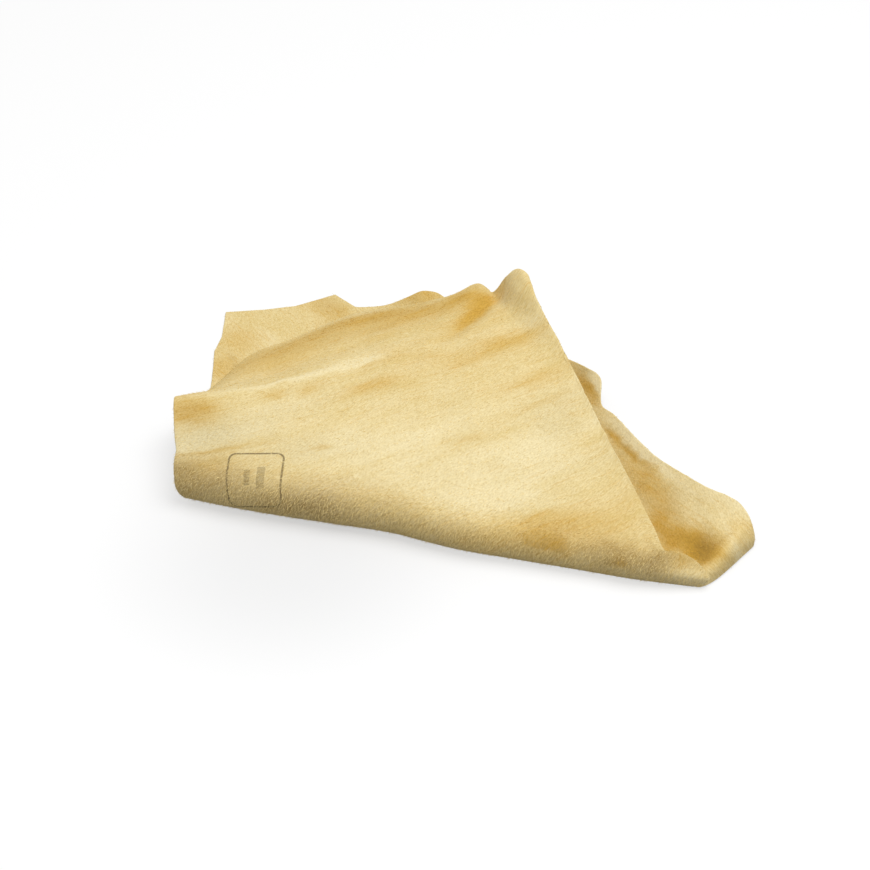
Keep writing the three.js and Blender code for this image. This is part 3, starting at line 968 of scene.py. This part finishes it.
def chamois_suede():
    """Soft suede: straw with cream and ochre streaks, a short nap, worn patches, painted light and
    shade.
    """
    finish = Finish("chamois_suede")
    place = finish.flat_hide()
    broad = finish.noise(place, *BROAD_STREAKS)
    streak = finish.noise(place, *STREAKS)
    vein = finish.noise(place, *VEINS)
    nap = finish.noise(place, *TUFTS)
    hair = finish.noise(place, *HAIRS)
    stipple = finish.noise(place, *STIPPLES)
    grain = finish.noise(place, *PORES)

    # Straw that swings to cream, with ochre in the streaks and in the patches, some of them painted
    # light and shade
    cream = finish.attribute("cream")
    ochre = finish.attribute("ochre")
    light = PLAIN_LIGHT + BROAD_SWING * (broad - MEAN_NOISE) + STREAK_SWING * (streak - MEAN_NOISE)
    light = light + STIPPLE_SWING * (stipple - MEAN_NOISE) + cream - OCHRE_SWING * ochre
    warm = ochre * (EVEN_OCHRE + STREAKED_OCHRE * streak + stipple)
    warm = warm + STREAK_OCHRE * (streak - STREAK_LIMIT).larger(0)
    warm = warm + VEIN_OCHRE * (vein - VEIN_LIMIT).larger(0)
    colour = finish.mix(STRAW, CREAM, light)
    colour = finish.mix(colour, OCHRE, warm - CREAM_OVER_OCHRE * cream)

    # Worn and soiled patches, and painted shade on the roll, pocket, curl's crease, lobe and by the
    # flap's rear edge
    grey = finish.attribute("grey")
    brown = finish.attribute("brown")
    colour = finish.mix(colour, GREY, grey * (EVEN_GREY + STIPPLED_GREY * stipple))
    colour = finish.mix(colour, BROWN, brown * (EVEN_BROWN + STIPPLED_BROWN * stipple))

    # The nap: painted shade in brown between its tufts and strands, painted glints in cream on them
    long_nap = finish.attribute("rough")
    tuft = nap.step(*TUFT_START)
    pore = grain.step(*PORE_START)
    strand = hair.step(*STRAND_START)
    mottled = (ochre - MOTTLED_LIMIT).larger(0)
    between_strands = STRAND_SHADE + LONG_NAP_SHADE * long_nap + MOTTLED_SHADE * mottled
    shade = TUFT_SHADE * (1 - tuft) + PORE_SHADE * (1 - pore) + between_strands * (1 - strand)
    painted_tip_glints = (TIP_LIGHT - OCHRE_TIP_LOSS * ochre) * (tuft + strand) * stipple
    colour = finish.mix(colour, BROWN, shade)
    colour = finish.mix(colour, CREAM, painted_tip_glints)
    colour = finish.mix(colour, INK, ink_mark(finish, place) * INK_STRENGTH)

    height = TUFT_HEIGHT * nap + PORE_HEIGHT * grain
    relief = {"Strength": BUMP_STRENGTH, "Distance": BUMP_HEIGHT, "Height": height}
    bump = finish.node("ShaderNodeBump", {}, relief)
    finish.surface({"Base Color": colour, "Normal": Shade(finish, bump.outputs[0])})
    finish.surface(SUEDE_SURFACE)
    return finish.data


def suede_fibre(name, tone):
    """The loose ends of the nap, one tone all over."""
    finish = Finish(name)
    finish.surface({"Base Color": tone, "Roughness": 1, "Specular IOR Level": 0})
    return finish.data


# Nap

NAP_DENSITY = 700000.0  # fibres on a square metre, before the shares below
NAP_LENGTH = 0.0018
NAP_THICKNESS = 0.0002
FIBRE_SIDES = 3
NAP_DIRECTION = (-0.35, -0.5, -0.8)
LEAST_LEAN = (-0.3, 0.9, -0.7)
MOST_LEAN = (0.3, 1.35, 0.7)
LEAST_SIZE = 0.5
MOST_SIZE = 1.3
UNDERSIDE_SHARE = 0.35  # of the fibres on a sheet's upper side
# How dense and how large the fibres are, and what long nap adds to that, as shares
SHORT_NAP_DENSITY = 0.4
LONG_NAP_DENSITY = 1.5
SHORT_NAP_SIZE = 0.8
LONG_NAP_SIZE = 0.3
OCHRE_NAP = 0.45  # fibres are dark where ochre patches are stronger than this
FLOOR_CLEARANCE = 0.0022  # lower than this, only faces that look up have fibres
SCATTER_SEED = 4
LEAN_SEED = 5
SIZE_SEED = 6


def nap_tree(pale, dark):
    """Short fibres scattered over a sheet, leaning one way, dark where the hide is ochre."""
    tree = bpy.data.node_groups.new("nap", "GeometryNodeTree")
    tree.interface.new_socket("Sheet", in_out="INPUT", socket_type="NodeSocketGeometry")
    for name in ("Density", "Length", "Thickness"):
        tree.interface.new_socket(name, in_out="INPUT", socket_type="NodeSocketFloat")
    tree.interface.new_socket("Fibres", in_out="OUTPUT", socket_type="NodeSocketGeometry")

    def node(kind, settings, inputs):
        made = tree.nodes.new(kind)
        for name, value in settings.items():
            setattr(made, name, value)
        for name, value in inputs.items():
            if isinstance(value, bpy.types.NodeSocket):
                tree.links.new(value, made.inputs[name])
            else:
                made.inputs[name].default_value = value
        return made.outputs

    def maths(operation, *values):
        return node("ShaderNodeMath", {"operation": operation}, dict(enumerate(values)))[0]

    def more(first, second):
        return node("FunctionNodeCompare", {"operation": "GREATER_THAN"}, {0: first, 1: second})[0]

    def kept_value(label):
        return node("GeometryNodeInputNamedAttribute", {"data_type": "FLOAT"}, {0: label})[0]

    def height_of(kind):
        return node("ShaderNodeSeparateXYZ", {}, {0: node(kind, {}, {})[0]})["Z"]

    given = node("NodeGroupInput", {}, {})
    rough = kept_value("rough")
    share = maths("MULTIPLY_ADD", kept_value("outside"), 1 - UNDERSIDE_SHARE, UNDERSIDE_SHARE)
    crowd = maths("MULTIPLY_ADD", rough, LONG_NAP_DENSITY, SHORT_NAP_DENSITY)
    density = maths("MULTIPLY", maths("MULTIPLY", share, crowd), given["Density"])
    upward = maths("MAXIMUM", height_of("GeometryNodeInputNormal"), 0)
    room = maths("MULTIPLY_ADD", upward, FLOOR_CLEARANCE, height_of("GeometryNodeInputPosition"))
    scatter = {
        "Mesh": given["Sheet"],
        "Selection": more(room, FLOOR_CLEARANCE),
        "Density": density,
        "Seed": SCATTER_SEED,
    }
    spots = node("GeometryNodeDistributePointsOnFaces", {}, scatter)
    radius = maths("MULTIPLY", given["Thickness"], 0.5)
    cone = {"Vertices": FIBRE_SIDES, "Radius Top": 0, "Radius Bottom": radius, "Depth": given["Length"]}
    fibre = node("GeometryNodeMeshCone", {"fill_type": "NGON"}, cone)
    upright = node("FunctionNodeAlignRotationToVector", {"axis": "Z"}, {"Vector": spots["Normal"]})
    combed = {"Rotation": upright[0], "Vector": NAP_DIRECTION}
    facing = node("FunctionNodeAlignRotationToVector", {"axis": "X", "pivot_axis": "Z"}, combed)
    disorder = {0: LEAST_LEAN, 1: MOST_LEAN, "Seed": LEAN_SEED}
    lean = node("FunctionNodeRandomValue", {"data_type": "FLOAT_VECTOR"}, disorder)
    turn = node("FunctionNodeEulerToRotation", {}, {0: lean[0]})
    stand = node("FunctionNodeRotateRotation", {"rotation_space": "LOCAL"}, {0: facing[0], 1: turn[0]})
    sizes = {2: LEAST_SIZE, 3: MOST_SIZE, "Seed": SIZE_SEED}
    size = node("FunctionNodeRandomValue", {"data_type": "FLOAT"}, sizes)
    scale = maths("MULTIPLY", size[1], maths("MULTIPLY_ADD", rough, LONG_NAP_SIZE, SHORT_NAP_SIZE))
    placed = {
        "Points": spots["Points"],
        "Instance": fibre["Mesh"],
        "Rotation": stand[0],
        "Scale": scale,
    }
    grown = node("GeometryNodeInstanceOnPoints", {}, placed)
    solid = node("GeometryNodeRealizeInstances", {}, {0: grown[0]})
    paled = node("GeometryNodeSetMaterial", {}, {"Geometry": solid[0], "Material": pale})
    deep = more(kept_value("ochre"), OCHRE_NAP)
    toned = {"Geometry": paled[0], "Selection": deep, "Material": dark}
    finished = node("GeometryNodeSetMaterial", {}, toned)
    node("NodeGroupOutput", {}, {0: finished[0]})
    return tree


def grow_nap(name, sheet, tree, sizes):
    """Fibres over a sheet, as one plain mesh."""
    carrier = add_object("carrier", sheet.data.copy())
    modifier = carrier.modifiers.new("nap", "NODES")
    modifier.node_group = tree
    for socket in tree.interface.items_tree:
        if socket.name in sizes:
            modifier[socket.identifier] = sizes[socket.name]
    evaluated = carrier.evaluated_get(bpy.context.evaluated_depsgraph_get())
    mesh = bpy.data.meshes.new_from_object(evaluated)
    bpy.data.objects.remove(carrier)
    mesh.name = name
    return add_object(name, mesh)


# Camera, floor and light

FLOOR_SIZE = 14
UNSEEN_TONE = 0.3  # the floor as it lights the hide
SEEN_TONE = 0.35  # the floor as the camera sees it, under its glow
# The glow is dimmer round a spot just in front of the hide and rises to its far tone further out: a
# painted soft shadow
PAINTED_SHADOW_GLOW = 0.53
FAR_GLOW = 0.65
PAINTED_SHADOW_CENTRE = (-0.04, -0.12, 0)
GLOW_START = 0.01
GLOW_END = 0.12
WORLD_STRENGTH = 0.6
LAMP_LENGTH = 1.3
LAMP_WIDTH = 1.0
LAMP_ENERGY = 11.4
LAMP_PLACE = (0.3, 0.03, 1.33)


def aim(thing, place, target):
    """Puts a camera or a lamp at a place and points it at a target."""
    thing.location = place
    thing.rotation_euler = (Vector(target) - Vector(place)).to_track_quat("-Z", "Y").to_euler()


def add_camera():
    data = bpy.data.cameras.new("camera")
    data.lens = CAMERA_LENS
    data.sensor_width = SENSOR_WIDTH
    camera = add_object("camera", data)
    level = math.cos(CAMERA_ELEVATION)
    to_right = math.sin(CAMERA_AZIMUTH) * level
    to_front = math.cos(CAMERA_AZIMUTH) * level
    back = Vector((to_right, -to_front, math.sin(CAMERA_ELEVATION)))
    aim(camera, CAMERA_TARGET + back * CAMERA_DISTANCE, CAMERA_TARGET)
    bpy.context.scene.camera = camera


def even(tone):
    """A colour without hue."""
    return (tone, tone, tone, 1)


def add_floor():
    """A plain floor that looks white to the camera, keeps the object's soft shadow, and has a painted
    soft shadow.
    """
    bpy.ops.mesh.primitive_plane_add(size=FLOOR_SIZE)
    floor = bpy.context.object
    floor.name = "floor"
    finish = Finish("white_floor")
    finish.tree.nodes.remove(finish.shader)
    path = finish.node("ShaderNodeLightPath", {}, {})
    seen = Shade(finish, path.outputs["Is Camera Ray"])
    seen = seen.larger(Shade(finish, path.outputs["Is Glossy Ray"]))
    seen = seen.larger(Shade(finish, path.outputs["Is Transmission Ray"]))
    unseen_paint = finish.node("ShaderNodeBsdfDiffuse", {}, {"Color": even(UNSEEN_TONE)})
    paint = finish.node("ShaderNodeBsdfDiffuse", {}, {"Color": even(SEEN_TONE)})
    place = Shade(finish, finish.node("ShaderNodeTexCoord", {}, {}).outputs["Object"])
    away = {0: place, 1: PAINTED_SHADOW_CENTRE}
    distance = finish.node("ShaderNodeVectorMath", {"operation": "DISTANCE"}, away)
    reach = Shade(finish, distance.outputs["Value"])
    # Painted soft shadow: the glow dims near the hide
    tone = finish.mix(even(PAINTED_SHADOW_GLOW), even(FAR_GLOW), reach.step(GLOW_START, GLOW_END))
    glow = finish.node("ShaderNodeEmission", {}, {"Color": tone, "Strength": 1})
    lifted = finish.node("ShaderNodeAddShader", {}, {})
    finish.tree.links.new(paint.outputs[0], lifted.inputs[0])
    finish.tree.links.new(glow.outputs[0], lifted.inputs[1])
    either = finish.node("ShaderNodeMixShader", {}, {0: seen})
    finish.tree.links.new(unseen_paint.outputs[0], either.inputs[1])
    finish.tree.links.new(lifted.outputs[0], either.inputs[2])
    finish.tree.links.new(either.outputs[0], finish.tree.nodes["Material Output"].inputs["Surface"])
    floor.data.materials.append(finish.data)


def add_lights():
    """An even white room and one wide lamp overhead."""
    world = bpy.data.worlds.new("studio")
    world.use_nodes = True
    background = world.node_tree.nodes["Background"]
    background.inputs["Color"].default_value = even(1)
    background.inputs["Strength"].default_value = WORLD_STRENGTH
    bpy.context.scene.world = world
    data = bpy.data.lights.new("overhead", "AREA")
    data.shape = "RECTANGLE"
    data.size = LAMP_LENGTH
    data.size_y = LAMP_WIDTH
    data.energy = LAMP_ENERGY
    lamp = add_object("overhead", data)
    aim(lamp, LAMP_PLACE, (0, 0, 0))


add_camera()
add_floor()
add_lights()
bpy.context.scene.view_settings.view_transform = "Standard"

# The hide
suede = chamois_suede()
flap = leather_sheet("hide_flap", *flap_grid(), CUT_SIDES, 0, RESTING_HEIGHT, suede)
base_middle, base_flat, joined = base_grid()
base = leather_sheet("hide_base", base_middle, base_flat, CUT_SIDES, joined, HALF_THICKNESS, suede)
corner = leather_sheet("hide_corner", *corner_grid(), ("rear",), 0, HALF_THICKNESS, suede)

# The nap
fibres = nap_tree(suede_fibre("pale_fibre", FIBRE), suede_fibre("ochre_fibre", OCHRE_FIBRE))
sizes = {"Density": NAP_DENSITY, "Length": NAP_LENGTH, "Thickness": NAP_THICKNESS}
flap_nap = grow_nap("nap_flap", flap, fibres, sizes)
base_nap = grow_nap("nap_base", base, fibres, sizes)
corner_nap = grow_nap("nap_corner", corner, fibres, sizes)

# Points at these distances outward from the start of each crease
CURL_BEND_START = -0.008
CORNER_BEND_START = 0
BEND_END = 0.010


def beside(crease_line, distance):
    """The point at a distance outward from the start of a crease, in the model's frame."""
    start, _, _, outward = crease_line
    return Vector((*(start - ORIGIN[:2] + distance * outward), HALF_THICKNESS))


curl_bend = (beside(curl_crease(), CURL_BEND_START), beside(curl_crease(), BEND_END))
corner_bend = (beside(corner_crease(), CORNER_BEND_START), beside(corner_crease(), BEND_END))
for piece in (base, base_nap):
    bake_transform(piece)
for piece in (corner, corner_nap):
    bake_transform(piece)
for piece in (flap, flap_nap):
    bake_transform(piece)
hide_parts("upper_flap")
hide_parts("base_panel", "right_curl")
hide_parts("rear_corner")
